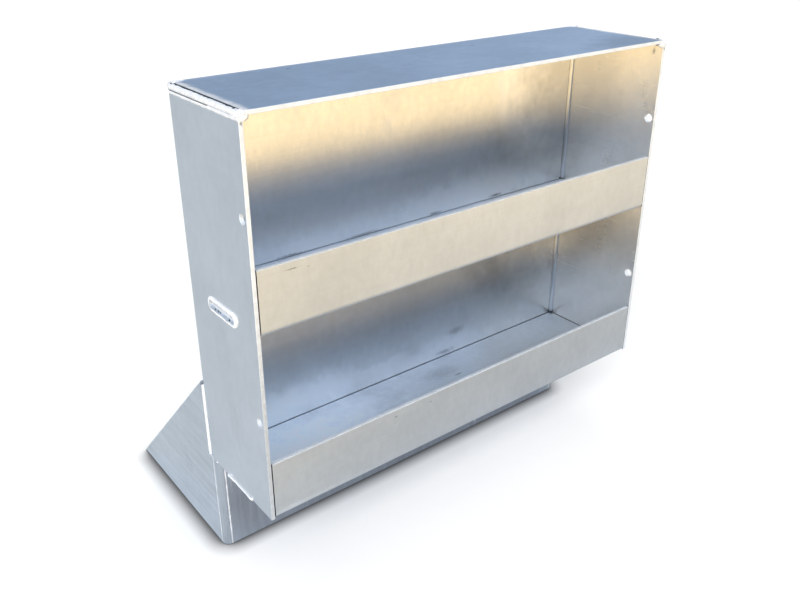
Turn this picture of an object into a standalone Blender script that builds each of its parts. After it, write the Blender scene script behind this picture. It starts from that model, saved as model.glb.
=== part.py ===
"""Two-tier trough feeder: a folded aluminium box with two lipped trays, welded onto a wedge foot.

Axes: +X runs along the troughs, the open front faces -Y and +Z is up. The origin is at the
centre of the object's bounding box in plan, on the surface that the wedge foot stands on.
Distances called "depth" are measured backwards from the open front face.
"""

import math

import bmesh
import bpy
from mathutils import Vector

# Driving dimensions, in metres.
HEIGHT = 0.500
WIDTH = 0.518
BOX_DEPTH = 0.129
BOX_BOTTOM = 0.1145
UPPER_TRAY_BOTTOM = 0.3075
LIP_HEIGHT = 0.062
FOOT_FRONT_DEPTH = 0.1128
FOOT_REACH = 0.2035

# Sheet stock and folds.
SHEET = 0.004
BEND_INSIDE = 0.004
BEND_OUTSIDE = BEND_INSIDE + SHEET
TRAY_BEND_INSIDE = 0.0012
BEND_STEPS = 6

# Clearances: between welded neighbours, and where a tray drops in between the side walls.
GAP = 0.0003
TRAY_CLEARANCE = 0.0008

# Retaining-rod holes near the front edge of each side wall.
HOLE_DIAMETER = 0.0094
HOLE_DEPTH = 0.0074
HOLE_ABOVE_TRAY = 0.1055
HOLE_SIDES = 28

# Tab and slot that hold each end of the upper tray.
SLOT_LENGTH = 0.0436
SLOT_HEIGHT = 0.0046
SLOT_DEPTH = 0.0605
TAB_LENGTH = 0.041
SLOT_END_STEPS = 8

# Weld beads.
BEAD_STEPS = 6
RING_BEAD_WIDTH = 0.0055
RING_BEAD_RISE = 0.0018
STITCH_WIDTH = 0.0080
STITCH_RISE = 0.0020
STITCH_START_DEPTH = 0.032
STITCH_LENGTH = 0.054
FILLET_LEG = 0.0050
SMALL_FILLET_LEG = 0.0040
SEAT_BEAD_LENGTH = 0.030
CENTRE_BEAD_LENGTH = 0.060
TRAY_BEAD_LENGTH = 0.060
TRAY_BEAD_OFFSET = 0.150
SEAM_CROWN = 0.0006
SLOPE_BEAD_WIDTH = 0.0070
SLOPE_BEAD_RISE = 0.0012

# Finishes: base colour and roughness.
SHEET_FINISH = ((0.60, 0.64, 0.68), 0.34)
TRAY_FINISH = ((0.66, 0.66, 0.64), 0.32)
BEAD_FINISH = ((0.80, 0.82, 0.84), 0.28)

# Worked-out places.
HALF_WIDTH = WIDTH / 2
TOTAL_DEPTH = BOX_DEPTH + FOOT_REACH
FRONT = -TOTAL_DEPTH / 2
BOX_BACK = FRONT + BOX_DEPTH
FOOT_FRONT = FRONT + FOOT_FRONT_DEPTH
FOOT_TOE = TOTAL_DEPTH / 2
WALL_TOP = HEIGHT - SHEET
DIAGONAL = math.sqrt(0.5)


def clear_scene():
    for item in list(bpy.data.objects):
        bpy.data.objects.remove(item, do_unlink=True)


def material(name, finish):
    colour, roughness = finish
    result = bpy.data.materials.new(name)
    result.use_nodes = True
    shader = result.node_tree.nodes["Principled BSDF"]
    shader.inputs["Base Color"].default_value = (*colour, 1.0)
    shader.inputs["Metallic"].default_value = 1.0
    shader.inputs["Roughness"].default_value = roughness
    return result


def add_object(name, mesh, finish=None):
    item = bpy.data.objects.new(name, mesh)
    bpy.context.scene.collection.objects.link(item)
    if finish:
        mesh.materials.append(material(name, finish))
    return item


def loft(name, rings, looped=False):
    """Skin a row of rings with equal point counts; the ends are capped unless the row loops."""
    mesh_data = bmesh.new()
    rows = [[mesh_data.verts.new(point) for point in ring] for ring in rings]
    count = len(rows[0])
    pairs = list(zip(rows, rows[1:]))
    if looped:
        pairs.append((rows[-1], rows[0]))
    for first, second in pairs:
        for index in range(count):
            following = (index + 1) % count
            mesh_data.faces.new((first[index], first[following], second[following], second[index]))
    if not looped:
        mesh_data.faces.new(rows[0])
        mesh_data.faces.new(rows[-1])
    bmesh.ops.recalc_face_normals(mesh_data, faces=mesh_data.faces)
    mesh = bpy.data.meshes.new(name)
    mesh_data.to_mesh(mesh)
    mesh_data.free()
    mesh.shade_smooth()
    mesh.set_sharp_from_angle(angle=math.radians(25))
    return mesh


def prism(name, outline, axis, start, end):
    """Extrude a closed outline along one axis. X takes (y, z), Y takes (x, z), Z takes (x, y)."""
    place = {
        "X": lambda along, a, b: (along, a, b),
        "Y": lambda along, a, b: (a, along, b),
        "Z": lambda along, a, b: (a, b, along),
    }[axis]
    return loft(name, [[place(along, a, b) for a, b in outline] for along in (start, end)])


def arc(centre, radius, start, end, steps):
    """Points on a circle, both ends included; angles in degrees."""
    points = []
    for step in range(steps + 1):
        angle = math.radians(start + (end - start) * step / steps)
        points.append((centre[0] + radius * math.cos(angle), centre[1] + radius * math.sin(angle)))
    return points


def folded_outline(corners, inside=BEND_INSIDE):
    """Section of a sheet folded square at each inner corner; the corners lie on its outer face."""
    outside = inside + SHEET
    corners = [Vector(corner) for corner in corners]
    runs = [(after - before).normalized() for before, after in zip(corners, corners[1:])]
    outer = [corners[0]]
    inner = [corners[0] + runs[1] * SHEET]
    for corner, before, after in zip(corners[1:], runs, runs[1:]):
        centre = corner + (after - before) * outside
        for step in range(BEND_STEPS + 1):
            turn = math.pi / 2 * step / BEND_STEPS
            spoke = before * math.sin(turn) - after * math.cos(turn)
            outer.append(centre + spoke * outside)
            inner.append(centre + spoke * inside)
    outer.append(corners[-1])
    inner.append(corners[-1] - runs[-2] * SHEET)
    return [tuple(point) for point in outer + inner[::-1]]


def boolean(item, operation, tool):
    """Combine an object with a tool object; cutters are hidden from the finished part."""
    modifier = item.modifiers.new(operation.title(), "BOOLEAN")
    modifier.operation = operation
    modifier.solver = "EXACT"
    modifier.object = tool
    tool.hide_render = True
    tool.display_type = "WIRE"


def stadium(length, height, steps):
    """Points round a slot with round ends, centred on the origin and long in its first axis."""
    radius = height / 2
    half = length / 2 - radius
    return arc((half, 0), radius, -90, 90, steps) + arc((-half, 0), radius, 90, 270, steps)


def build_box_wrap():
    """Back wall and both side walls, folded from one sheet, with rod holes and tray slots."""
    plan = [(-HALF_WIDTH, FRONT), (-HALF_WIDTH, BOX_BACK), (HALF_WIDTH, BOX_BACK), (HALF_WIDTH, FRONT)]
    mesh = prism("box_wrap", folded_outline(plan), "Z", BOX_BOTTOM, WALL_TOP)
    wrap = add_object("box_wrap", mesh, SHEET_FINISH)
    reach = HALF_WIDTH + SHEET
    for name, tray_bottom in (("upper", UPPER_TRAY_BOTTOM), ("lower", BOX_BOTTOM)):
        centre = (FRONT + HOLE_DEPTH, tray_bottom + HOLE_ABOVE_TRAY)
        circle = arc(centre, HOLE_DIAMETER / 2, 0, 360, HOLE_SIDES)[:-1]
        cutter = add_object(f"rod_hole_cutter_{name}", prism("rod_hole", circle, "X", -reach, reach))
        boolean(wrap, "DIFFERENCE", cutter)
    centre_y = FRONT + SLOT_DEPTH
    centre_z = UPPER_TRAY_BOTTOM + SHEET / 2
    slot = [(centre_y + a, centre_z + b) for a, b in stadium(SLOT_LENGTH, SLOT_HEIGHT, SLOT_END_STEPS)]
    boolean(wrap, "DIFFERENCE", add_object("slot_cutter", prism("slot", slot, "X", -reach, reach)))


def build_top_panel():
    """Flat lid sheet that sits inside the outline of the walls, with corners to suit the folds."""
    half = HALF_WIDTH - SHEET - GAP
    back = BOX_BACK - SHEET - GAP
    radius = BEND_INSIDE - GAP
    right = arc((half - radius, back - radius), radius, 0, 90, BEND_STEPS)
    left = arc((radius - half, back - radius), radius, 90, 180, BEND_STEPS)
    outline = [(-half, FRONT), (half, FRONT)] + right + left
    add_object("top_panel", prism("top_panel", outline, "Z", WALL_TOP, HEIGHT), SHEET_FINISH)


def build_tray(name, bottom, with_tabs):
    """Trough floor and front lip, folded from one sheet, with its rear corners cut to clear the folds."""
    half = HALF_WIDTH - SHEET - TRAY_CLEARANCE
    back = BOX_BACK - SHEET - TRAY_CLEARANCE
    profile = [(FRONT, bottom + LIP_HEIGHT), (FRONT, bottom), (back, bottom)]
    mesh = prism(name, folded_outline(profile, TRAY_BEND_INSIDE), "X", -half, half)
    tray = add_object(name, mesh, TRAY_FINISH)
    cut = BEND_INSIDE
    for side in (-1, 1):
        corner = [
            (side * (half - cut), back + SHEET),
            (side * (half - cut), back),
            (side * half, back - cut),
            (side * (half + SHEET), back - cut),
            (side * (half + SHEET), back + SHEET),
        ]
        mesh = prism("corner", corner, "Z", bottom - SHEET, bottom + 2 * SHEET)
        boolean(tray, "DIFFERENCE", add_object(f"{name}_corner_cutter_{side}", mesh))
    if with_tabs:
        near = FRONT + SLOT_DEPTH - TAB_LENGTH / 2
        tab = [
            (near, bottom),
            (near + TAB_LENGTH, bottom),
            (near + TAB_LENGTH, bottom + SHEET),
            (near, bottom + SHEET),
        ]
        reach = HALF_WIDTH - GAP
        boolean(tray, "UNION", add_object(f"{name}_tab_bar", prism("tab", tab, "X", -reach, reach)))


def build_foot_wrap():
    """Front plate and both gussets of the wedge, folded from one sheet, stepped to seat the box."""
    plan = [
        (-HALF_WIDTH, FOOT_TOE),
        (-HALF_WIDTH, FOOT_FRONT),
        (HALF_WIDTH, FOOT_FRONT),
        (HALF_WIDTH, FOOT_TOE),
    ]
    mesh = prism("foot_wrap", folded_outline(plan), "Z", 0, FOOT_REACH)
    wrap = add_object("foot_wrap", mesh, SHEET_FINISH)
    back = BOX_BACK + GAP
    seat = BOX_BOTTOM - GAP
    past = FOOT_TOE + SHEET
    above = FOOT_REACH + SHEET
    waste = [
        (FRONT, seat),
        (back, seat),
        (back, FOOT_TOE - back),
        (past, FOOT_TOE - past),
        (past, above),
        (FRONT, above),
    ]
    reach = HALF_WIDTH + SHEET
    boolean(wrap, "DIFFERENCE", add_object("seat_cutter", prism("seat", waste, "X", -reach, reach)))


def build_foot_base_plate():
    """Sole of the wedge, let in between the gussets."""
    half = HALF_WIDTH - SHEET - GAP
    front = FOOT_FRONT + SHEET + GAP
    rear = FOOT_TOE - SHEET - GAP * 2
    cut = BEND_INSIDE
    outline = [
        (-half + cut, front),
        (half - cut, front),
        (half, front + cut),
        (half, rear),
        (-half, rear),
        (-half, front + cut),
    ]
    add_object("foot_base_plate", prism("foot_base_plate", outline, "Z", 0, SHEET), SHEET_FINISH)


def build_foot_slope_plate():
    """Sloping back of the wedge, let in between the gussets with its outer face flush."""
    half = HALF_WIDTH - SHEET - GAP
    front = BOX_BACK + GAP
    low = SHEET + GAP
    inset = SHEET / DIAGONAL
    outline = [
        (front, FOOT_TOE - front),
        (FOOT_TOE - low, low),
        (FOOT_TOE - low - inset, low),
        (front, FOOT_TOE - front - inset),
    ]
    add_object("foot_slope_plate", prism("foot_slope_plate", outline, "X", -half, half), SHEET_FINISH)


def corner_bead_ring(point, outward):
    """Section of the bead that fills the open corner between a wall's top edge and the lid."""
    inner = (-SHEET, -SHEET + GAP)
    section = [inner] + arc(inner, SHEET, 0, 90, BEAD_STEPS)
    section = [(min(a, 0), min(b, 0)) for a, b in section]
    return [Vector((point[0] + outward[0] * a, point[1] + outward[1] * a, HEIGHT + b)) for a, b in section]


def build_top_beads():
    """Straight beads along the sides of the lid, and one round the back and both rear folds."""
    fold_start = BOX_BACK - BEND_OUTSIDE
    for name, side in (("left", -1), ("right", 1)):
        edge = side * HALF_WIDTH
        rings = [corner_bead_ring((edge, y), (side, 0)) for y in (FRONT, fold_start - GAP)]
        add_object(f"weld_top_{name}", loft("bead", rings), BEAD_FINISH)
    centre = HALF_WIDTH - BEND_OUTSIDE
    rings = []
    for angle_start, centre_x in ((180, -centre), (90, centre)):
        for step in range(BEND_STEPS + 1):
            angle = math.radians(angle_start - 90 * step / BEND_STEPS)
            outward = (math.cos(angle), math.sin(angle))
            point = (centre_x + BEND_OUTSIDE * outward[0], fold_start + BEND_OUTSIDE * outward[1])
            rings.append(corner_bead_ring(point, outward))
    add_object("weld_top_rear", loft("bead", rings), BEAD_FINISH)


def half_round(width, rise):
    """Section of a low bead on a flat face: (across, up) points from one toe to the other."""
    return [(width / 2 * a, rise * b) for a, b in arc((0, 0), 1, 0, 180, BEAD_STEPS)]


def build_slot_beads():
    """Ring bead round the tab end in each side wall."""
    centre_y = FRONT + SLOT_DEPTH
    centre_z = UPPER_TRAY_BOTTOM + SHEET / 2
    radius = SLOT_HEIGHT / 2 + RING_BEAD_WIDTH / 2
    half = SLOT_LENGTH / 2 - SLOT_HEIGHT / 2
    section = half_round(RING_BEAD_WIDTH, RING_BEAD_RISE)
    for name, side in (("left", -1), ("right", 1)):
        rings = []
        for start, shift in ((-90, half), (90, -half)):
            for along, up in arc((0, 0), 1, start, start + 180, SLOT_END_STEPS):
                rings.append([
                    Vector((
                        side * (HALF_WIDTH + GAP + rise),
                        centre_y + shift + along * (radius + across),
                        centre_z + up * (radius + across),
                    ))
                    for across, rise in section
                ])
        add_object(f"weld_slot_{name}", loft("bead", rings, looped=True), BEAD_FINISH)


def build_tray_bottom_beads():
    """Stitch under each end of the lower tray, where its floor meets the side wall's lower edge."""
    start = FRONT + STITCH_START_DEPTH
    for name, side in (("left", -1), ("right", 1)):
        centre = side * (HALF_WIDTH - SHEET)
        outline = [(centre + a, BOX_BOTTOM - GAP - b) for a, b in half_round(STITCH_WIDTH, STITCH_RISE)]
        mesh = prism("bead", outline, "Y", start, start + STITCH_LENGTH)
        add_object(f"weld_tray_bottom_{name}", mesh, BEAD_FINISH)


def build_tray_rear_beads():
    """Hidden stitches that tie the rear edge of each tray to the back wall from below."""
    wall = BOX_BACK - SHEET - GAP
    under = UPPER_TRAY_BOTTOM - GAP
    fillet = [(wall, under), (wall, under - SMALL_FILLET_LEG), (wall - SMALL_FILLET_LEG, under)]
    flat = [(wall + a, BOX_BOTTOM - GAP - b) for a, b in half_round(STITCH_WIDTH, STITCH_RISE)]
    for name, side in (("left", -1), ("right", 1)):
        centre = side * TRAY_BEAD_OFFSET
        span = (centre - TRAY_BEAD_LENGTH / 2, centre + TRAY_BEAD_LENGTH / 2)
        add_object(f"weld_upper_tray_rear_{name}", prism("bead", fillet, "X", *span), BEAD_FINISH)
        add_object(f"weld_lower_tray_rear_{name}", prism("bead", flat, "X", *span), BEAD_FINISH)


def build_seam_beads():
    """Bead in the groove between each rear fold of the box and the gusset behind it."""
    radius = BEND_OUTSIDE + GAP
    centre = (HALF_WIDTH - BEND_OUTSIDE, BOX_BACK - BEND_OUTSIDE)
    rear = BOX_BACK - GAP
    toe_angle = math.degrees(math.acos((BEND_OUTSIDE - GAP) / radius))
    groove = arc(centre, radius, toe_angle, 55, BEAD_STEPS)
    start = groove[0][1]
    crown = []
    for step in range(BEAD_STEPS):
        share = step / BEAD_STEPS
        crown.append((HALF_WIDTH + SEAM_CROWN * math.sin(math.pi * share), rear + (start - rear) * share))
    section = groove + [(groove[-1][0], rear)] + crown
    for name, side in (("left", -1), ("right", 1)):
        outline = [(side * a, b) for a, b in section]
        mesh = prism("bead", outline, "Z", BOX_BOTTOM + GAP, FOOT_REACH - SHEET)
        add_object(f"weld_gusset_{name}", mesh, BEAD_FINISH)


def seat_ring(point, outward, size):
    """Section of the fillet under the box, against the front of the foot."""
    top = BOX_BOTTOM - 2 * GAP
    leg = FILLET_LEG * size
    section = [(GAP, 0), (GAP, -leg), (leg * 0.62, -leg * 0.45), (leg, 0)]
    return [Vector((point[0] + outward[0] * a, point[1] + outward[1] * a, top + b)) for a, b in section]


def build_seat_beads():
    """Fillets between the underside of the box and the front of the foot: both corners and the middle."""
    centre = (HALF_WIDTH - BEND_OUTSIDE, FOOT_FRONT + BEND_OUTSIDE)
    turns = 6
    for name, side in (("left", -1), ("right", 1)):
        rings = []
        for step in range(turns + 1):
            angle = math.radians(70 * (1 - step / turns))
            outward = (side * math.sin(angle), -math.cos(angle))
            size = 0.45 + 0.55 * step / turns
            point = (side * centre[0] + BEND_OUTSIDE * outward[0], centre[1] + BEND_OUTSIDE * outward[1])
            rings.append(seat_ring(point, outward, size))
        end = side * (centre[0] - SEAT_BEAD_LENGTH)
        rings.append(seat_ring((end, FOOT_FRONT), (0, -1), 0.7))
        add_object(f"weld_foot_seat_{name}", loft("bead", rings), BEAD_FINISH)
    ends = (-CENTRE_BEAD_LENGTH / 2, CENTRE_BEAD_LENGTH / 2)
    rings = [seat_ring((x, FOOT_FRONT), (0, -1), 1) for x in ends]
    add_object("weld_foot_seat_center", loft("bead", rings), BEAD_FINISH)


def build_slope_beads():
    """Beads round the sloping plate: along its top against the box, and along both gussets."""
    wall = BOX_BACK + GAP
    lift = GAP / DIAGONAL
    corner = FOOT_TOE - wall + lift
    leg = FILLET_LEG
    outline = [
        (wall, corner),
        (wall, corner + leg),
        (wall + leg * 0.55, corner + leg * 0.55),
        (wall + leg, corner - leg),
    ]
    half = HALF_WIDTH - 3 * SHEET
    add_object("weld_slope_top", prism("bead", outline, "X", -half, half), BEAD_FINISH)
    for name, side in (("left", -1), ("right", 1)):
        rings = []
        for y in (wall + 2 * leg, FOOT_TOE - 2 * leg):
            z = FOOT_TOE - y
            rings.append([
                Vector((
                    side * (HALF_WIDTH - SHEET) + across,
                    y + (GAP + rise) * DIAGONAL,
                    z + (GAP + rise) * DIAGONAL,
                ))
                for across, rise in half_round(SLOPE_BEAD_WIDTH, SLOPE_BEAD_RISE)
            ])
        add_object(f"weld_slope_{name}", loft("bead", rings), BEAD_FINISH)


def build_base_beads():
    """Toe bead behind the sole, and the fillets inside the wedge that tie the sole to the gussets."""
    rear = FOOT_TOE - SHEET - GAP
    low = GAP
    high = SHEET - GAP
    toe = [(rear, low), (FOOT_TOE - low - 2 * GAP, low), (FOOT_TOE - high - 2 * GAP, high), (rear, high)]
    half = HALF_WIDTH - SHEET - 2 * GAP
    add_object("weld_base_rear", prism("bead", toe, "X", -half, half), BEAD_FINISH)
    wall = HALF_WIDTH - SHEET - GAP
    floor = SHEET + GAP
    leg = SMALL_FILLET_LEG
    start = FOOT_FRONT + 2 * BEND_OUTSIDE
    end = FOOT_TOE - 4 * BEND_OUTSIDE
    for name, side in (("left", -1), ("right", 1)):
        outline = [(side * wall, floor), (side * wall, floor + leg), (side * (wall - leg), floor)]
        add_object(f"weld_base_{name}", prism("bead", outline, "Y", start, end), BEAD_FINISH)


def main():
    clear_scene()
    build_box_wrap()
    build_top_panel()
    build_tray("upper_tray", UPPER_TRAY_BOTTOM, with_tabs=True)
    build_tray("lower_tray", BOX_BOTTOM, with_tabs=False)
    build_foot_wrap()
    build_foot_base_plate()
    build_foot_slope_plate()
    build_top_beads()
    build_slot_beads()
    build_tray_bottom_beads()
    build_tray_rear_beads()
    build_seam_beads()
    build_seat_beads()
    build_slope_beads()
    build_base_beads()


main()
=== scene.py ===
"""Looks of the two-tier trough feeder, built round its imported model.

Metres, +Z up, the open front faces -Y. Folded sheets, weld beads, rolled-aluminium materials, a pale
floor, soft light and the camera.
"""

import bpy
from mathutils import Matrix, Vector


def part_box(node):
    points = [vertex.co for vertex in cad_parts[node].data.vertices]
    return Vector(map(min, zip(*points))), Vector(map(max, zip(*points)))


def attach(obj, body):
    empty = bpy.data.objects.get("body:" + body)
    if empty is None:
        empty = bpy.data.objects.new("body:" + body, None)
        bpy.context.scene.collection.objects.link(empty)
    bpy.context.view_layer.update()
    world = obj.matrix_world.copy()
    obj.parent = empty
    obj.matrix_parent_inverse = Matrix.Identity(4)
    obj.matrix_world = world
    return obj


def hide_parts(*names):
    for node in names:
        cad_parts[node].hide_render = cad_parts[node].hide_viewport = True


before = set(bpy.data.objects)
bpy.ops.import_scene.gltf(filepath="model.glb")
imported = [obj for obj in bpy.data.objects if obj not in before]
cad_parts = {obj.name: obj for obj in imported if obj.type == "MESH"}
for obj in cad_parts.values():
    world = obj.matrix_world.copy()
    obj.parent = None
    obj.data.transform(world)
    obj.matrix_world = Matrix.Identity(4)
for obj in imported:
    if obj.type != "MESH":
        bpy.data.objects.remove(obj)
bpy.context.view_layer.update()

import math

import bmesh
import bpy
from mathutils import Vector, noise

# Places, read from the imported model.
WRAP_LOW, WRAP_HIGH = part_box("box_wrap")
LID_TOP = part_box("top_panel")[1].z
UPPER_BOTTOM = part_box("upper_tray")[0].z
LOWER_BOTTOM, LOWER_LIP_TOP = (corner.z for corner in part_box("lower_tray"))
FOOT_LOW, FOOT_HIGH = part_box("foot_wrap")
HALF_WIDTH = WRAP_HIGH.x
FRONT = WRAP_LOW.y
BOX_BACK = WRAP_HIGH.y
BOX_BOTTOM = WRAP_LOW.z
WALL_TOP = WRAP_HIGH.z
FOOT_FRONT = FOOT_LOW.y
FOOT_TOE = FOOT_HIGH.y
FOOT_TOP = FOOT_HIGH.z
LIP_HEIGHT = LOWER_LIP_TOP - LOWER_BOTTOM

# Sheet stock, folds and clearances, as in the model but with more steps to a fold.
SHEET = 0.004
BEND_INSIDE = 0.004
BEND_OUTSIDE = BEND_INSIDE + SHEET
TRAY_BEND_INSIDE = 0.0012
BEND_STEPS = 14
GAP = 0.0003
TRAY_CLEARANCE = 0.0008
MM = 0.001

# Rounding of the sheared edges, and how far the lid stops short of each side to leave a slit.
EDGE_ROUND = 0.00045
EDGE_STEPS = 3
LID_INSET = 0.0054

# Retaining-rod holes and the slots for the upper tray's tabs, as in the model but rounder.
HOLE_DIAMETER = 0.0094
HOLE_DEPTH = 0.0074
HOLE_ABOVE_TRAY = 0.1055
HOLE_SIDES = 48
SLOT_LENGTH = 0.0436
SLOT_HEIGHT = 0.0046
SLOT_DEPTH = 0.0605
SLOT_END_STEPS = 14
TAB_LENGTH = 0.041

# Weld beads: width, rise and, where it isn't the usual one, the pitch of the ripples.
RIPPLE_PITCH = 0.0021
RING_SIZE = (0.0055, 0.0018)
STITCH_SIZE = (0.0080, 0.0026)
UPPER_REAR_SIZE = (0.0056, 0.0028)
LOWER_REAR_SIZE = (0.0080, 0.0020)
GUSSET_SIZE = (0.0046, 0.0011, 0.0024)
SEAT_SIZE = (0.0066, 0.0033)
SLOPE_TOP_SIZE = (0.0092, 0.0020, 0.0026)
SLOPE_SIDE_SIZE = (0.0070, 0.0014, 0.0026)
TOE_SIZE = (0.0044, 0.0008, 0.0026)

# Where the beads lie.
STITCH_START_DEPTH = 0.036
STITCH_LENGTH = 0.051
REAR_BEAD_OFFSET = 0.150
REAR_BEAD_HALF = 0.030
SEAT_BEAD_REACH = 0.040
SEAT_BEAD_TURN = 50
CENTRE_BEAD_HALF = 0.030
DRESSED_INSET = 0.016
DRESSED_FADE = 0.006

# Camera: where it stands, how it is turned, and the framing.
CAMERA_PLACE = (-0.5348, -0.71165, 0.6478)
CAMERA_TURN = (64.66, 0.0, -38.0)
CAMERA_LENS = 37.157
CAMERA_SHIFT = (0.0014, -0.0259)

# Floor as the camera sees it: its colour, how far the contact shadow and the halo round it reach,
# and how open to the sky a spot still is where both are at their darkest.
FLOOR_HALF = 30
FLOOR_HEIGHTS = (-0.02, -0.0002)
FLOOR_COLOUR = (0.93, 0.93, 0.93, 1)
CONTACT_COLOUR = (0.10, 0.10, 0.10, 1)
CONTACT_REACH = 0.022
HALO_REACH = 0.08
HALO_SHADE = 0.80
SHADOW_OPENNESS = 0.50

# Floor, ground in front and sky as the metal reflects them. The stops are (distance ahead, colour).
# Towards the left the ground comes nearer by the shift and brighter by the boost, all between X of
# GROUND_TURN and -GROUND_TURN. The sky goes from front to back within SKY_TURN of straight up.
FLOOR_REFLECTED = (0.475, 0.52, 0.565, 1)
# The next colour is a painted shadow under the box, in the floor as the metal reflects it.
FLOOR_UNDER_PAINTED_SHADOW = (0.28, 0.30, 0.33, 1)
GROUND_STOPS = [
    (0.10, (0.24, 0.24, 0.235)),
    (0.38, (0.25, 0.24, 0.21)),
    (0.50, (0.44, 0.40, 0.335)),
    (0.57, (0.78, 0.66, 0.47)),
    (0.66, (1.56, 1.17, 0.62)),
]
GROUND_FADE = 0.15
GROUND_LEFT_SHIFT = 0.14
GROUND_LEFT_BOOST = 1.38
GROUND_TURN = 0.15
SKY_TURN = 0.8
SKY_FRONT = (0.74, 0.94, 1.28, 1)
SKY_BACK = (0.28, 0.38, 0.54, 1)

# Suns: name, degrees across, strength, and turn in degrees.
SUNS = [
    ("overhead", 60, 0.75, (-8, -6, 0)),
    ("dome", 175, 0.6, (0, 0, 0)),
    ("front_fill", 45, 4.9, (61, 0, -42)),
]

# Rolled sheet: how fine each pattern and the edges of marks and of painted reflections are, per
# metre, and how strongly they show.
CLOUD_SCALE = 14.0
SMEAR_SCALE = 26.0
SMEAR_TONE = 0.93
SMEAR_ROUGHNESS = 0.04
MOTTLE_SCALE = 120.0
MOTTLE = 0.035
LINE_ROUGHNESS = 0.015
LINE_DEPTH = 0.000003
WAVE_SCALE = 11.0
WAVE_DEPTH = 0.00012
MARK_GRAIN = 420.0
PAINTED_REFLECTION_GRAIN = 12.0
UNEVENNESS = 1.8


# ---------------------------------------------------------------- mesh helpers

def add_object(name, mesh):
    item = bpy.data.objects.new(name, mesh)
    bpy.context.scene.collection.objects.link(item)
    return item


def loft(name, rings, looped=False):
    """Skin a row of rings with equal point counts; the ends are capped unless the row loops."""
    mesh_data = bmesh.new()
    rows = [[mesh_data.verts.new(point) for point in ring] for ring in rings]
    count = len(rows[0])
    pairs = list(zip(rows, rows[1:]))
    if looped:
        pairs.append((rows[-1], rows[0]))
    for first, second in pairs:
        for index in range(count):
            following = (index + 1) % count
            mesh_data.faces.new((first[index], first[following], second[following], second[index]))
    if not looped:
        mesh_data.faces.new(rows[0])
        mesh_data.faces.new(rows[-1])
    bmesh.ops.recalc_face_normals(mesh_data, faces=mesh_data.faces)
    mesh = bpy.data.meshes.new(name)
    mesh_data.to_mesh(mesh)
    mesh_data.free()
    return mesh


def prism(name, outline, axis, start, end):
    """Extrude a closed outline along one axis: X takes (y, z) and Z takes (x, y)."""
    point = {
        "X": lambda along, a, b: (along, a, b),
        "Z": lambda along, a, b: (a, b, along),
    }[axis]
    return loft(name, [[point(along, a, b) for a, b in outline] for along in (start, end)])


def arc(centre, radius, start, end, steps):
    """Points on a circle, both ends included; angles in degrees."""
    points = []
    for step in range(steps + 1):
        angle = math.radians(start + (end - start) * step / steps)
        points.append((centre[0] + radius * math.cos(angle), centre[1] + radius * math.sin(angle)))
    return points


def folded_outline(corners, inside=BEND_INSIDE):
    """Section of a sheet folded square at each inner corner; the corners lie on its outer face."""
    outside = inside + SHEET
    corners = [Vector(corner) for corner in corners]
    runs = [(after - before).normalized() for before, after in zip(corners, corners[1:])]
    outer = [corners[0]]
    inner = [corners[0] + runs[1] * SHEET]
    for corner, before, after in zip(corners[1:], runs, runs[1:]):
        centre = corner + (after - before) * outside
        for step in range(BEND_STEPS + 1):
            turn = math.pi / 2 * step / BEND_STEPS
            spoke = before * math.sin(turn) - after * math.cos(turn)
            outer.append(centre + spoke * outside)
            inner.append(centre + spoke * inside)
    outer.append(corners[-1])
    inner.append(corners[-1] - runs[-2] * SHEET)
    return [tuple(point) for point in outer + inner[::-1]]


def stadium(length, height, steps):
    """Points round a slot with round ends, centred on the origin and long in its first axis."""
    radius = height / 2
    half = length / 2 - radius
    return arc((half, 0), radius, -90, 90, steps) + arc((-half, 0), radius, 90, 270, steps)


def boolean(item, operation, mesh):
    tool = add_object("tool", mesh)
    modifier = item.modifiers.new(operation, "BOOLEAN")
    modifier.operation = operation
    modifier.solver = "EXACT"
    modifier.object = tool


def bake(item):
    """Apply an object's modifiers and drop the tools of its booleans."""
    tools = [modifier.object for modifier in item.modifiers if modifier.type == "BOOLEAN"]
    bpy.context.view_layer.update()
    evaluated = item.evaluated_get(bpy.context.evaluated_depsgraph_get())
    mesh = bpy.data.meshes.new_from_object(evaluated)
    item.modifiers.clear()
    item.data = mesh
    for tool in tools:
        bpy.data.objects.remove(tool, do_unlink=True)


def settle(item):
    """Round the sheared edges and keep the broad faces shaded flat."""
    item.data.shade_smooth()
    bevel = item.modifiers.new("edges", "BEVEL")
    bevel.width = EDGE_ROUND
    bevel.segments = EDGE_STEPS
    bevel.limit_method = "ANGLE"
    bevel.angle_limit = math.radians(40)
    normals = item.modifiers.new("normals", "WEIGHTED_NORMAL")
    normals.mode = "FACE_AREA"
    normals.weight = 100
    bake(item)


def place(item, nodes, materials, choose=None):
    """Hang a finished piece on the frame in place of its CAD nodes, and give it its materials."""
    for finish in materials:
        item.data.materials.append(finish)
    if choose:
        for face in item.data.polygons:
            face.material_index = int(choose(face))
    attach(item, "root")
    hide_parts(*nodes)


# ---------------------------------------------------------------- materials

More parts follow.
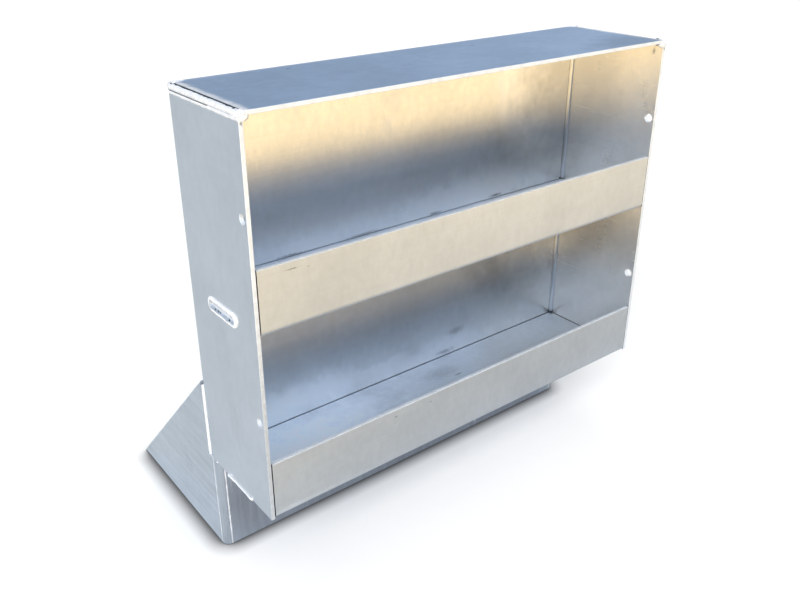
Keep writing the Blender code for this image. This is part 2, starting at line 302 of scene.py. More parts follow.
class Graph:
    """Short way to lay out a material's nodes."""

    def __init__(self, name):
        self.material = bpy.data.materials.new(name)
        self.material.use_nodes = True
        self.tree = self.material.node_tree
        self.shader = self.tree.nodes["Principled BSDF"]

    def feed(self, socket, value):
        if isinstance(value, bpy.types.NodeSocket):
            self.tree.links.new(value, socket)
        elif value is not None:
            socket.default_value = value

    def add(self, kind, *values, out=0, **settings):
        node = self.tree.nodes.new(f"ShaderNode{kind}")
        for key, value in settings.items():
            setattr(node, key, value)
        for socket, value in zip(node.inputs, values):
            self.feed(socket, value)
        return node.outputs[out]

    def maths(self, operation, first, second=0.0):
        return self.add("Math", first, second, operation=operation)

    def position(self):
        return self.add("TexCoord", out=3)

    def noise(self, scale, detail=2.0, stretch=(1, 1, 1), shift=(0, 0, 0), rough=0.55):
        vector = self.add("VectorMath", self.position(), stretch, operation="MULTIPLY")
        vector = self.add("VectorMath", vector, shift, operation="ADD")
        node = self.tree.nodes.new("ShaderNodeTexNoise")
        self.feed(node.inputs["Vector"], vector)
        node.inputs["Scale"].default_value = scale
        node.inputs["Detail"].default_value = detail
        node.inputs["Roughness"].default_value = rough
        return node.outputs["Fac"]

    def remap(self, value, low, high, to_low=0.0, to_high=1.0):
        return self.add("MapRange", value, low, high, to_low, to_high)

    def bump(self, height, distance, strength, normal=None):
        node = self.tree.nodes.new("ShaderNodeBump")
        node.inputs["Strength"].default_value = strength
        node.inputs["Distance"].default_value = distance
        self.feed(node.inputs["Height"], height)
        self.feed(node.inputs["Normal"], normal)
        return node.outputs[0]

    def mix(self, factor, first, second):
        node = self.tree.nodes.new("ShaderNodeMix")
        node.data_type = "RGBA"
        self.feed(node.inputs["Factor"], factor)
        self.feed(node.inputs[6], first)
        self.feed(node.inputs[7], second)
        return node.outputs[2]


def spots(graph, tone, marks, grain=MARK_GRAIN):
    """Darken a tone at marks, each (centre, radii, darkness), with edges uneven at the given grain.

    A negative darkness lightens.
    """
    uneven = graph.maths("MULTIPLY", graph.noise(grain, 4.0, rough=0.7), UNEVENNESS)
    for centre, radii, darkness in marks:
        away = graph.add("VectorMath", graph.position(), centre, operation="SUBTRACT")
        away = graph.add("VectorMath", away, radii, operation="DIVIDE")
        reach = graph.add("VectorMath", away, out=1, operation="LENGTH")
        reach = graph.maths("ADD", reach, uneven)
        shade = graph.remap(reach, 1.1, 1.9, 1.0 - darkness, 1.0)
        tone = graph.maths("MULTIPLY", tone, shade)
    return tone


def pale_bands(graph, bands):
    """Strips of heated metal and of painted highlight, each (axis, middle, half width, strength); X is
    mirrored.
    """
    split = graph.tree.nodes.new("ShaderNodeSeparateXYZ")
    graph.feed(split.inputs[0], graph.position())
    wander = graph.noise(90.0, 4.0, rough=0.6)
    total = None
    for axis, middle, half_width, strength in bands:
        along = graph.maths("ABSOLUTE", split.outputs[0]) if axis == "X" else split.outputs[1]
        away = graph.maths("ABSOLUTE", graph.maths("SUBTRACT", along, middle))
        away = graph.maths("ADD", away, graph.maths("MULTIPLY", wander, half_width))
        band = graph.remap(away, half_width * 1.25, half_width * 0.5, 0.0, strength)
        total = graph.maths("MAXIMUM", total, band) if total else band
    return total


def sheet_tone(graph, lines, smear, shift, streak, cloud):
    """Brightness of a sheet, from its rolling lines, clouds, smears and mottle."""
    clouds = graph.noise(CLOUD_SCALE, 5.0, shift=shift, rough=0.6)
    mottle = graph.noise(MOTTLE_SCALE, 5.0, (1.0, 1.0, 0.6), shift, 0.75)
    tone = graph.remap(lines, 0.3, 0.7, 1 - streak, 1 + streak)
    tone = graph.maths("MULTIPLY", tone, graph.remap(clouds, 0.3, 0.7, 1 - cloud, 1 + cloud))
    tone = graph.maths("MULTIPLY", tone, graph.remap(smear, 0.0, 1.0, 1.0, SMEAR_TONE))
    return graph.maths("MULTIPLY", tone, graph.remap(mottle, 0.35, 0.65, 1 - MOTTLE, 1 + MOTTLE))


def rolled_metal(name, tint, roughness, across, anisotropy, seed, tangent="Z", metallic=1.0, streak=0.02,
                 cloud=0.05, marks=(), painted_reflections=(), bands=()):
    """Mill-finish aluminium: rolling lines, soft clouds, mottle, smears, faint waves and marks.

    across is the stretch of the rolling lines: small along the grain and large across it. Marks are
    small and sharp; painted reflections are wide, soft patches of painted light and shade; and bands
    are strips of paler metal, some of them painted highlights.
    """
    graph = Graph(name)
    shift = (seed, seed * 0.7, seed * 1.3)
    lines = graph.noise(1.0, 4.0, across, shift, 0.75)
    smears = graph.noise(SMEAR_SCALE, 4.0, (1.0, 1.0, 0.45), shift, 0.6)
    smear = graph.remap(smears, 0.58, 0.76)
    tone = sheet_tone(graph, lines, smear, shift, streak, cloud)
    tone = spots(graph, tone, marks)
    tone = spots(graph, tone, painted_reflections, PAINTED_REFLECTION_GRAIN)
    colour = graph.add("VectorMath", (*tint,), tone, operation="MULTIPLY")
    graph.feed(graph.shader.inputs["Base Color"], colour)
    if bands:
        metallic = graph.maths("SUBTRACT", metallic, pale_bands(graph, bands))
    graph.feed(graph.shader.inputs["Metallic"], metallic)
    rough = graph.remap(lines, 0.3, 0.7, roughness - LINE_ROUGHNESS, roughness + LINE_ROUGHNESS)
    rough = graph.maths("ADD", rough, graph.maths("MULTIPLY", smear, SMEAR_ROUGHNESS))
    graph.feed(graph.shader.inputs["Roughness"], rough)
    graph.shader.inputs["Anisotropic"].default_value = anisotropy
    if tangent == "Z":
        direction = graph.add("CombineXYZ", 0.0, 0.0, 1.0)
    else:
        normal = graph.add("NewGeometry", out=1)
        direction = graph.add("VectorMath", normal, (1, 0, 0), operation="CROSS_PRODUCT")
    graph.feed(graph.shader.inputs["Tangent"], direction)
    waves = graph.bump(graph.noise(WAVE_SCALE, 1.0, shift=shift), WAVE_DEPTH, 1.0)
    graph.feed(graph.shader.inputs["Normal"], graph.bump(lines, LINE_DEPTH, 0.5, waves))
    return graph.material


def bright_metal(name, tint, roughness, grain_scale, depth, metallic, marks=()):
    """Weld metal or a sheared edge: bright, fine-grained and partly matt."""
    graph = Graph(name)
    variation = 0.06
    grain = graph.noise(grain_scale, 3.0)
    soot = graph.noise(120.0, 3.0)
    tone = spots(graph, graph.remap(soot, 0.4, 0.75, 1.0, 0.84), marks)
    colour = graph.add("VectorMath", (*tint,), tone, operation="MULTIPLY")
    graph.feed(graph.shader.inputs["Base Color"], colour)
    graph.shader.inputs["Metallic"].default_value = metallic
    rough = graph.remap(grain, 0.3, 0.7, roughness - variation, roughness + variation)
    graph.feed(graph.shader.inputs["Roughness"], rough)
    graph.feed(graph.shader.inputs["Normal"], graph.bump(grain, depth, 0.6))
    return graph.material


def painted_gap_shade():
    """Dark metal painted as shade in slits, gaps and grooves beside the welds."""
    graph = Graph("painted_gap_shade")
    black = (0.02, 0.022, 0.026, 1)
    grey = (0.10, 0.11, 0.12, 1)
    patches = graph.noise(500.0, 3.0)
    graph.feed(graph.shader.inputs["Base Color"], graph.mix(patches, black, grey))
    graph.shader.inputs["Metallic"].default_value = 0.6
    graph.shader.inputs["Roughness"].default_value = 0.75
    return graph.material


# Marks and painted reflections are (centre, radii, darkness). The painted reflections are soft patches
# of painted light and shade that stand in for what the sheets reflect. On the walls their reach in Y
# stays under the sheet's thickness, so that they don't show on its other face.
LIP_FACE = FRONT
WALL_FACE = BOX_BACK - SHEET
LOWER_FLOOR = LOWER_BOTTOM + SHEET
MARK_DEPTH = 0.0024
PAINTED_REFLECTION_DEPTH = 0.0030
TRAY_MARKS = [
    ((-0.221, LIP_FACE, 0.3625), (0.0080, 0.0040, 0.0006), 0.75),
    ((-0.205, LIP_FACE, 0.3605), (0.0030, 0.0040, 0.0005), 0.50),
    ((-0.112, LIP_FACE, 0.1685), (0.0022, 0.0040, 0.0009), 0.60),
    ((-0.067, LIP_FACE, 0.1680), (0.0018, 0.0040, 0.0008), 0.60),
    ((0.140, LIP_FACE, 0.3692), (0.0140, 0.0060, 0.0007), 0.45),
    ((0.030, -0.070, LOWER_FLOOR), (0.0300, 0.0150, 0.0040), 0.22),
    ((0.045, -0.085, LOWER_FLOOR), (0.0070, 0.0014, 0.0040), 0.60),
    ((0.252, -0.046, LOWER_FLOOR), (0.0060, 0.0050, 0.0040), 0.60),
]
WALL_MARKS = [
    ((0.079, WALL_FACE, 0.148), (0.0180, MARK_DEPTH, 0.0060), 0.30),
    ((0.060, WALL_FACE, 0.124), (0.0220, MARK_DEPTH, 0.0040), 0.45),
    ((0.136, WALL_FACE, 0.3145), (0.0150, MARK_DEPTH, 0.0026), 0.65),
    ((0.042, WALL_FACE, 0.3135), (0.0130, MARK_DEPTH, 0.0020), 0.60),
    ((-0.060, WALL_FACE, 0.3130), (0.0260, MARK_DEPTH, 0.0016), 0.45),
    ((-0.150, WALL_FACE, 0.3128), (0.0220, MARK_DEPTH, 0.0014), 0.50),
    ((0.2550, -0.155, 0.487), (0.0020, 0.0022, 0.0050), 0.55),
    ((-0.261, -0.086, 0.211), (0.0020, 0.0120, 0.0080), 0.10),
    ((-0.261, -0.124, 0.224), (0.0020, 0.0100, 0.0100), 0.08),
    # Painted shade: thin dark lines down both edges of each inner rear fold.
    ((0.2510, WALL_FACE, 0.300), (0.0006, MARK_DEPTH, 1.0000), 0.55),
    ((0.2570, WALL_FACE - BEND_INSIDE, 0.300), (0.0024, 0.0006, 1.0000), 0.55),
    ((-0.2510, WALL_FACE, 0.300), (0.0006, MARK_DEPTH, 1.0000), 0.55),
    ((-0.2570, WALL_FACE - BEND_INSIDE, 0.300), (0.0024, 0.0006, 1.0000), 0.55),
]
# Back wall: painted light along the bottom of each tier, and painted shade towards the right of each tier.
WALL_PAINTED_REFLECTIONS = [
    ((-0.210, WALL_FACE, 0.120), (0.2600, PAINTED_REFLECTION_DEPTH, 0.0480), -0.50),
    ((0.020, WALL_FACE, 0.120), (0.1800, PAINTED_REFLECTION_DEPTH, 0.0300), -0.26),
    ((-0.120, WALL_FACE, 0.316), (0.3000, PAINTED_REFLECTION_DEPTH, 0.0300), -0.16),
    ((0.160, WALL_FACE, 0.316), (0.2000, PAINTED_REFLECTION_DEPTH, 0.0400), -0.30),
    ((0.250, WALL_FACE, 0.420), (0.1200, PAINTED_REFLECTION_DEPTH, 0.2000), 0.36),
    ((0.190, WALL_FACE, 0.250), (0.1200, PAINTED_REFLECTION_DEPTH, 0.0800), 0.42),
]
# Right wall's inner face: painted shade near the top of the lower tier.
SIDE_PAINTED_SHADE = [((0.255, -0.105, 0.262), (0.0100, 0.1500, 0.0550), 0.23)]
# Trays: painted light on the left of the lower floor, and painted shade across the lower lip and on the
# left of the upper lip.
TRAY_PAINTED_REFLECTIONS = [
    ((-0.210, -0.100, LOWER_FLOOR), (0.1800, 0.1100, 0.0060), -0.45),
    ((0.000, LIP_FACE, 0.140), (2.0000, 0.0100, 0.1200), 0.09),
    ((-0.250, LIP_FACE, 0.330), (0.2000, 0.0100, 0.1500), 0.10),
]
# Lid: painted shade at its front right corner.
LID_PAINTED_SHADE = [((0.245, -0.152, LID_TOP), (0.1100, 0.0450, 0.0100), 0.30)]
LID_MARKS = [
    ((-0.147, -0.052, LID_TOP), (0.0030, 0.0030, 0.0040), 0.35),
    ((0.068, -0.065, LID_TOP), (0.0028, 0.0028, 0.0040), 0.35),
]
EDGE_MARKS = [
    ((0.0022 - HALF_WIDTH, FRONT, LID_TOP - 0.0098), (0.0014, 0.0030, 0.0022), 0.75),
    ((HALF_WIDTH - 0.0022, FRONT, LID_TOP - 0.0098), (0.0014, 0.0030, 0.0022), 0.75),
    # Painted shade on the left wall's front edge, darkest at the height of the lower lip.
    ((0.002 - HALF_WIDTH, FRONT, 0.1700), (0.0080, 0.0030, 0.1800), 0.30),
]

# Bands of paler metal are (axis, middle, half width, strength): heat beside the lid's side welds,
# and painted highlights along both edges of each of the foot's front folds.
HEATED_EDGE = [("X", HALF_WIDTH - 0.0075, 0.0075, 0.80)]
FOLD_HIGHLIGHTS = [
    ("Y", FOOT_FRONT + BEND_OUTSIDE, 0.0014, 0.75),
    ("X", HALF_WIDTH - BEND_OUTSIDE, 0.0014, 0.75),
]

# Stretches of the rolling lines, by the way that they run, and the finishes.
ROLLED_LEVEL = (5.0, 5.0, 420.0)
ROLLED_ALONG = (5.0, 420.0, 420.0)
BRUSHED_LEVEL = (9.0, 9.0, 170.0)
BRUSHED_UPRIGHT = (170.0, 170.0, 9.0)
MILL = rolled_metal(
    "mill_sheet", (0.85, 0.86, 0.87), 0.215, ROLLED_LEVEL, anisotropy=0.9, seed=1.0,
    marks=WALL_MARKS, painted_reflections=WALL_PAINTED_REFLECTIONS,
)
# Rougher copy of the mill sheet for the inner faces of the side walls; its warmer, brighter tint is painted
# warm light from the ground in front.
SCUFFED_AND_WARM_LIT = rolled_metal(
    "inner_side_sheet", (0.97, 0.94, 0.88), 0.26, ROLLED_LEVEL, anisotropy=0.8, seed=1.0,
    metallic=0.92, marks=WALL_MARKS, painted_reflections=SIDE_PAINTED_SHADE,
)
GUSSET = rolled_metal(
    "foot_sheet", (0.80, 0.82, 0.84), 0.24, BRUSHED_LEVEL, anisotropy=0.8, seed=2.0,
    streak=0.13, bands=FOLD_HIGHLIGHTS,
)
PLATE = rolled_metal(
    "foot_front_sheet", (0.76, 0.78, 0.81), 0.26, BRUSHED_UPRIGHT, anisotropy=0.3, seed=3.0,
    streak=0.12, bands=FOLD_HIGHLIGHTS,
)
LID = rolled_metal(
    "lid_sheet", (0.83, 0.84, 0.85), 0.24, ROLLED_ALONG, anisotropy=0.8, seed=4.0,
    tangent="X", cloud=0.07, marks=LID_MARKS, painted_reflections=LID_PAINTED_SHADE, bands=HEATED_EDGE,
)
TRAY = rolled_metal(
    "tray_sheet", (0.70, 0.74, 0.78), 0.42, ROLLED_ALONG, anisotropy=0.5, seed=7.0,
    tangent="X", metallic=0.85, marks=TRAY_MARKS, painted_reflections=TRAY_PAINTED_REFLECTIONS,
)
CUT_EDGE = bright_metal(
    "cut_edge", (0.66, 0.71, 0.78), 0.50, grain_scale=900.0, depth=0.00002, metallic=0.30,
    marks=EDGE_MARKS,
)
WELD = bright_metal(
    "weld_bead", (0.92, 0.93, 0.95), 0.26, grain_scale=1500.0, depth=0.00003, metallic=0.42,
)
GAP_SHADE = painted_gap_shade()


# ---------------------------------------------------------------- sheets

def wrap_finish(face):
    """Sheared edges and hole walls, the inner faces of the side walls, or the rest of the sheet."""
    before_folds = face.center.y < BOX_BACK - BEND_OUTSIDE
    if abs(face.normal.z) > 0.5 or (before_folds and abs(face.normal.x) < 0.75):
        return 1
    return 2 if before_folds and face.normal.x * face.center.x < 0 else 0


def build_box_wrap():
    """Back wall and both side walls, folded from one sheet, with rod holes and tray slots."""
    plan = [(-HALF_WIDTH, FRONT), (-HALF_WIDTH, BOX_BACK), (HALF_WIDTH, BOX_BACK), (HALF_WIDTH, FRONT)]
    wrap = add_object("box_wrap_sheet", prism("wrap", folded_outline(plan), "Z", BOX_BOTTOM, WALL_TOP))
    reach = HALF_WIDTH + SHEET
    for tray_bottom in (UPPER_BOTTOM, LOWER_BOTTOM):
        centre = (FRONT + HOLE_DEPTH, tray_bottom + HOLE_ABOVE_TRAY)
        circle = arc(centre, HOLE_DIAMETER / 2, 0, 360, HOLE_SIDES)[:-1]
        boolean(wrap, "DIFFERENCE", prism("hole", circle, "X", -reach, reach))
    centre_y = FRONT + SLOT_DEPTH
    centre_z = UPPER_BOTTOM + SHEET / 2
    slot = [(centre_y + a, centre_z + b) for a, b in stadium(SLOT_LENGTH, SLOT_HEIGHT, SLOT_END_STEPS)]
    boolean(wrap, "DIFFERENCE", prism("slot", slot, "X", -reach, reach))
    settle(wrap)
    place(wrap, ["box_wrap"], [MILL, CUT_EDGE, SCUFFED_AND_WARM_LIT], wrap_finish)


def lid_finish(face):
    """Sides in the slits painted dark as shade, sheared edges, or the sheet's faces."""
    if abs(face.normal.x) > 0.95:
        return 2
    return 1 if abs(face.normal.z) < 0.6 else 0


def build_lid():
    """Flat lid sheet, with corners to suit the folds and a slit beside each side weld."""
    half = HALF_WIDTH - LID_INSET
    back = BOX_BACK - SHEET - GAP
    radius = BEND_INSIDE - GAP
    right = arc((half - radius, back - radius), radius, 0, 90, BEND_STEPS)
    left = arc((radius - half, back - radius), radius, 90, 180, BEND_STEPS)
    outline = [(-half, FRONT), (half, FRONT)] + right + left
    lid = add_object("lid_sheet", prism("lid", outline, "Z", WALL_TOP, LID_TOP))
    settle(lid)
    place(lid, ["top_panel"], [LID, CUT_EDGE, GAP_SHADE], lid_finish)


def build_tray(name, node, bottom, with_tabs):
    """Trough floor and front lip, folded from one sheet, with its rear corners cut for the folds."""
    half = HALF_WIDTH - SHEET - TRAY_CLEARANCE
    back = BOX_BACK - SHEET - TRAY_CLEARANCE
    profile = [(FRONT, bottom + LIP_HEIGHT), (FRONT, bottom), (back, bottom)]
    tray = add_object(name, prism(name, folded_outline(profile, TRAY_BEND_INSIDE), "X", -half, half))
    cut = BEND_INSIDE
    for side in (-1, 1):
        corner = [
            (side * (half - cut), back + SHEET),
            (side * (half - cut), back),
            (side * half, back - cut),
            (side * (half + SHEET), back - cut),
            (side * (half + SHEET), back + SHEET),
        ]
        boolean(tray, "DIFFERENCE", prism("corner", corner, "Z", bottom - SHEET, bottom + 2 * SHEET))
    if with_tabs:
        near = FRONT + SLOT_DEPTH - TAB_LENGTH / 2
        far = near + TAB_LENGTH
        tab = [(near, bottom), (far, bottom), (far, bottom + SHEET), (near, bottom + SHEET)]
        reach = HALF_WIDTH - GAP
        boolean(tray, "UNION", prism("tab", tab, "X", -reach, reach))
    settle(tray)
    lip_top = bottom + LIP_HEIGHT - EDGE_ROUND * 1.2

    def finish(face):
        """Ends in the gaps beside the walls painted dark as shade, sheared edges and tab ends, or the
        faces.
        """
        faces_side = abs(face.normal.x) > 0.6
        if faces_side and abs(face.center.x) < half + GAP:
            return 2
        return 1 if faces_side or face.center.z > lip_top else 0

    place(tray, [node], [TRAY, CUT_EDGE, GAP_SHADE], finish)


def foot_finish(face):
    """Sheared upper edges, the front plate with its folds, or the gussets."""
    if face.normal.z > 0.3:
        return 1
    return 2 if abs(face.normal.y) > 0.08 else 0


def build_foot_wrap():
    """Front plate and both gussets of the wedge, folded from one sheet, stepped to seat the box."""
    plan = [
        (-HALF_WIDTH, FOOT_TOE),
        (-HALF_WIDTH, FOOT_FRONT),
        (HALF_WIDTH, FOOT_FRONT),
        (HALF_WIDTH, FOOT_TOE),
    ]
    wrap = add_object("foot_wrap_sheet", prism("foot", folded_outline(plan), "Z", 0, FOOT_TOP))
    back = BOX_BACK + GAP
    seat = BOX_BOTTOM - GAP
    past = FOOT_TOE + SHEET
    above = FOOT_TOP + SHEET
    waste = [
        (FRONT, seat),
        (back, seat),
        (back, FOOT_TOE - back),
        (past, FOOT_TOE - past),
        (past, above),
        (FRONT, above),
    ]
    reach = HALF_WIDTH + SHEET
    boolean(wrap, "DIFFERENCE", prism("seat", waste, "X", -reach, reach))
    settle(wrap)
    place(wrap, ["foot_wrap"], [GUSSET, CUT_EDGE, PLATE], foot_finish)


def build_slope_plate():
    """Sloping back of the wedge, let in between the gussets with its outer face flush."""
    half = HALF_WIDTH - SHEET - GAP
    front = BOX_BACK + GAP
    low = SHEET + GAP
    inset = SHEET * math.sqrt(2)
    outline = [
        (front, FOOT_TOE - front),
        (FOOT_TOE - low, low),
        (FOOT_TOE - low - inset, low),
        (front, FOOT_TOE - front - inset),
    ]
    plate = add_object("foot_slope_sheet", prism("slope", outline, "X", -half, half))
    settle(plate)
    place(plate, ["foot_slope_plate"], [TRAY])


# ---------------------------------------------------------------- welds

def resample(points, spacing, looped):
    """Evenly spaced stations along a polyline, each (distance, place), and its whole length."""
    points = [Vector(point) for point in points]
    if looped:
        points.append(points[0])
    lengths = [(after - before).length for before, after in zip(points, points[1:])]
    total = sum(lengths)
    count = max(4, round(total / spacing))
    stations = []
    index = 0
    passed = 0.0
    for step in range(count if looped else count + 1):
        goal = total * step / count
        while index < len(lengths) - 1 and passed + lengths[index] < goal:
            passed += lengths[index]
            index += 1
        share = (goal - passed) / lengths[index]
        stations.append((goal, points[index].lerp(points[index + 1], share)))
    return stations, total


def flat_section(root=0.35, dip=0.0, steps=12):
    """Bead on a flat face: (across, up, rippled) in half widths and rises.

    root is its buried depth, and dip the share of the rise that is missing along its middle.
    """
    dome = []
    hollow_width = 0.32
    root_half = 0.8
    for step in range(steps + 1):
        angle = math.pi * step / steps
        across = -math.cos(angle)
        hollow = 1 - dip * math.exp(-((across / hollow_width) ** 2))
        dome.append((across, math.sin(angle) * hollow, 1.0))
    return dome + [(root_half, -root, 0.0), (-root_half, -root, 0.0)]


def corner_section(steps=10):
    """Fillet in an inside corner; up is the bisector, and the last point lies in the corner."""
    dome = []
    crown = 0.45
    for step in range(steps + 1):
        angle = math.pi * step / steps
        dome.append((-math.cos(angle), 1.0 + crown * math.sin(angle), 1.0))
    return dome + [(0.0, -0.05, 0.0)]


# How a bead varies: its swelling along the way, and its ripples' share of its height and width.
# MEAN_CREST is the mean height of the ripples' wave.
BEAD_SWELLING = 0.09
RIPPLE_HEIGHT = 0.22
RIPPLE_SPREAD = 0.07
MEAN_CREST = 0.64


def end_shape(reach, width, size):
    """(taper, swelling) of a bead at a distance from one end; size is the end's swelling."""
    near = min(1.0, reach / (width * 0.5))
    taper = math.sqrt(max(0.0, 1 - (1 - near) ** 2)) * 0.97 + 0.03
    return taper, 1 + (size - 1) * math.exp(-((reach / width) ** 2) * 0.8)


def bead(name, path, up, section, width, rise, pitch=RIPPLE_PITCH, seed=0.0, looped=False,
         ends=(1.0, 1.0)):
    """Rippled weld run. up is one direction, or a function of the place; ends are the swellings."""
    stations, total = resample(path, pitch / 6, looped)
    places = [point for _, point in stations]
    count = len(places)
    rings = []
    for index, (distance, point) in enumerate(stations):
        before = places[(index - 1) % count] if looped or index else point
        after = places[(index + 1) % count] if looped or index < count - 1 else point
        along = (after - before).normalized()
        normal = Vector(up(point) if callable(up) else up).normalized()
        side = along.cross(normal).normalized()
        wander = noise.noise(Vector((distance * 160, seed * 7.3, 0.0)))
        swell = 1 + BEAD_SWELLING * wander
        taper = 1.0
        if not looped:
            for reach, size in ((distance, ends[0]), (total - distance, ends[1])):
                end_taper, end_swell = end_shape(reach, width, size)
                taper *= end_taper
                swell *= end_swell
        ring = []
        for across, height, rippled in section:
            phase = distance / pitch + 0.5 * across * across + 0.25 * wander
            crest = abs(math.sin(math.pi * phase)) - MEAN_CREST
            ripple = 1 + RIPPLE_HEIGHT * crest * rippled
            spread = 1 + RIPPLE_SPREAD * crest * rippled
            offset = across * width / 2 * swell * taper * spread
            lift = height * rise * (taper * swell * ripple if rippled else 1.0)
            ring.append(point + side * offset + normal * lift)
        rings.append(ring)
    item = add_object(name, loft(name, rings, looped))
    item.data.shade_smooth()
    item.data.set_sharp_from_angle(angle=math.radians(70))
    return item


def place_weld(item, node):
    place(item, [node], [WELD])


def lump(name, centre, radii, seed):
    """Uneven ellipsoid of weld metal."""
    mesh_data = bmesh.new()
    bmesh.ops.create_icosphere(mesh_data, subdivisions=4, radius=1.0)
    for vertex in mesh_data.verts:
        swell = 1 + 0.16 * noise.noise(vertex.co * 1.7 + Vector((seed, 0, 0)))
        spread = [part * radius * swell for part, radius in zip(vertex.co, radii)]
        vertex.co = Vector(spread) + Vector(centre)
    mesh = bpy.data.meshes.new(name)
    mesh_data.to_mesh(mesh)
    mesh_data.free()
    return mesh


def seam_section(distance, seed, proud):
    """Section round the lid's edge, (outward, up) from the outer top corner.

    Where proud is 1 it is a low cap run on the wall's face, a groove, and a fuller run on top, which
    ends in a ragged toe beside the slit. Where it is 0 the bead is dressed flush.
    """
    ragged = 1.5 * noise.noise(Vector((distance * 330, seed, 0.0)))
    wander = noise.noise(Vector((distance * 130, seed, 4.0)))
    ripple = abs(math.sin(math.pi * (distance / 0.0019 + 0.25 * wander)))
    full = [
        (-0.10, -8.2 + 0.7 * wander + 0.3 * ragged),
        (0.30, -7.4 + 0.5 * wander),
        (0.42 + 0.10 * ripple, -5.4),
        (-0.25, -4.75),
        (0.44, -4.1),
        (0.55 + 0.16 * ripple, -2.6),
        (0.34 + 0.12 * ripple, -0.9),
        (-0.55, 0.14 + 0.14 * ripple),
        (-1.15, 0.27 + 0.18 * ripple),
        (-1.8, 0.36 + 0.20 * ripple + 0.2 * wander),
        (-2.4, 0.25 + 0.15 * wander),
        (-2.8 - 1.5 * ragged, -0.5),
        (-3.1 - 0.9 * ragged, -1.8),
        (-5.6, -2.6),
        (-5.6, -3.8),
        (-3.6, -4.3),
        (-0.3, -4.45),
        (-0.3, -8.0),
    ]
    flush = [
        (-0.05, -4.6),
        (0.02, -4.4),
        (0.03, -4.2),
        (0.03, -4.0),
        (0.04, -3.0),
        (0.03, -1.6),
        (-0.15, -0.45),
        (-0.55, -0.06),
        (-1.15, 0.01),
        (-1.8, 0.03 + 0.03 * ripple),
        (-3.0, 0.03),
        (-4.1, 0.0),
        (-4.4, -1.6),
        (-4.6, -2.2),
        (-4.6, -3.8),
        (-3.6, -4.3),
        (-0.3, -4.45),
        (-0.3, -4.6),
    ]
    return [
        ((a + (c - a) * proud) * MM, (b + (d - b) * proud) * MM)
        for (a, b), (c, d) in zip(flush, full)
    ]


def seam(name, route, seed, proud):
    """Bead round the lid's edge. route is ((x, y), outward) pairs; proud depends on the distance."""
    rings = []
    distance = 0.0
    last = Vector(route[0][0])
    for (x, y), outward in route:
        here = Vector((x, y))
        distance += (here - last).length
        last = here
        section = seam_section(distance, seed, proud(distance))
        rings.append([(x + outward[0] * u, y + outward[1] * u, LID_TOP + v) for u, v in section])
    item = add_object(name, loft(name, rings))
    item.data.shade_smooth()
    item.data.set_sharp_from_angle(angle=math.radians(60))
    return item


def straight_route(start, end, outward, spacing=0.00035):
    start = Vector(start)
    end = Vector(end)
    count = round((end - start).length / spacing)
    return [(tuple(start.lerp(end, step / count)), outward) for step in range(count + 1)]


def fold_route(side, steps=36):
    """Round a rear fold of the box, from the side wall to the back wall."""
    centre_x = side * (HALF_WIDTH - BEND_OUTSIDE)
    centre_y = BOX_BACK - BEND_OUTSIDE
    route = []
    for step in range(steps + 1):
        angle = math.pi / 2 * step / steps
        outward = (side * math.cos(angle), math.sin(angle))
        x = centre_x + BEND_OUTSIDE * outward[0]
        y = centre_y + BEND_OUTSIDE * outward[1]
        route.append(((x, y), outward))
    return route


# Lumps at the front end of a side seam: inwards, back and down from the outer corner, and radii.
SEAM_LUMPS = [
    (0.0044, 0.0024, 0.0027, (0.0058, 0.0034, 0.0035)),
    (0.0026, 0.0075, 0.0034, (0.0034, 0.0070, 0.0040)),
    (0.0052, 0.0017, 0.0050, (0.0044, 0.0027, 0.0036)),
]


def seam_finish(face):
    """Painted shade from a ragged line to the slit, and along the groove down the outside but for its
    front.
    """
    drop = LID_TOP - face.center.z
    inwards = HALF_WIDTH - abs(face.center.x)
    behind_front = face.center.y - FRONT
    ragged = noise.noise(Vector((face.center.y * 260, face.center.x, 0.5)))
    in_slit = inwards > 0.0017 + 0.0022 * ragged and behind_front > 0.007
    in_groove = 0.0045 < drop < 0.0051 and inwards < 0.0006 and behind_front > 0.050
    return in_slit or in_groove


def build_top_welds():
    """Side seams of the lid with their swollen front ends, and the dressed seam along its rear."""
    fold_start = BOX_BACK - BEND_OUTSIDE
    for name, side in (("left", -1), ("right", 1)):
        edge = side * HALF_WIDTH
        route = straight_route((edge, FRONT + 0.0006), (edge, fold_start), (side, 0))
        item = seam(f"lid_seam_{name}", route, 11 + side, lambda distance: 1.0)
        for inwards, back, down, radii in SEAM_LUMPS:
            centre = (side * (HALF_WIDTH - inwards), FRONT + back, LID_TOP - down)
            boolean(item, "UNION", lump("lump", centre, radii, side + 900 * back))
        bake(item)
        place(item, [f"weld_top_{name}"], [WELD, GAP_SHADE], seam_finish)
    left = fold_route(-1)
    right = fold_route(1)[::-1]
    middle = straight_route(left[-1][0], right[0][0], (0, 1))[1:-1]
    fold_length = BEND_OUTSIDE * math.pi / 2
    total = 2 * fold_length + (Vector(right[0][0]) - Vector(left[-1][0])).length

    def proud(distance):
        past_fold = min(distance, total - distance) - fold_length
        return min(1.0, max(0.0, 1 - past_fold / DRESSED_FADE))

    item = seam("lid_seam_rear", left + middle + right, 17, proud)
    dressed = HALF_WIDTH - DRESSED_INSET
    place(item, ["weld_top_rear"], [WELD, LID], lambda face: abs(face.center.x) < dressed)


def ring_finish(face):
    """Duller metal on the inner slope of a ring, with dark spots painted as shade beside the tab's end."""
    shade_width = 0.0010
    dull_width = 0.0021
    half = (SLOT_LENGTH - SLOT_HEIGHT) / 2
    along = max(0.0, abs(face.center.y - FRONT - SLOT_DEPTH) - half)
    above = face.center.z - UPPER_BOTTOM - SHEET / 2
    clear = math.hypot(along, above) - SLOT_HEIGHT / 2 - 0.0010 * noise.noise(face.center * 400)
    if clear < shade_width and noise.noise(face.center * 260) > 0.3:
        return 2
    return 1 if clear < dull_width else 0


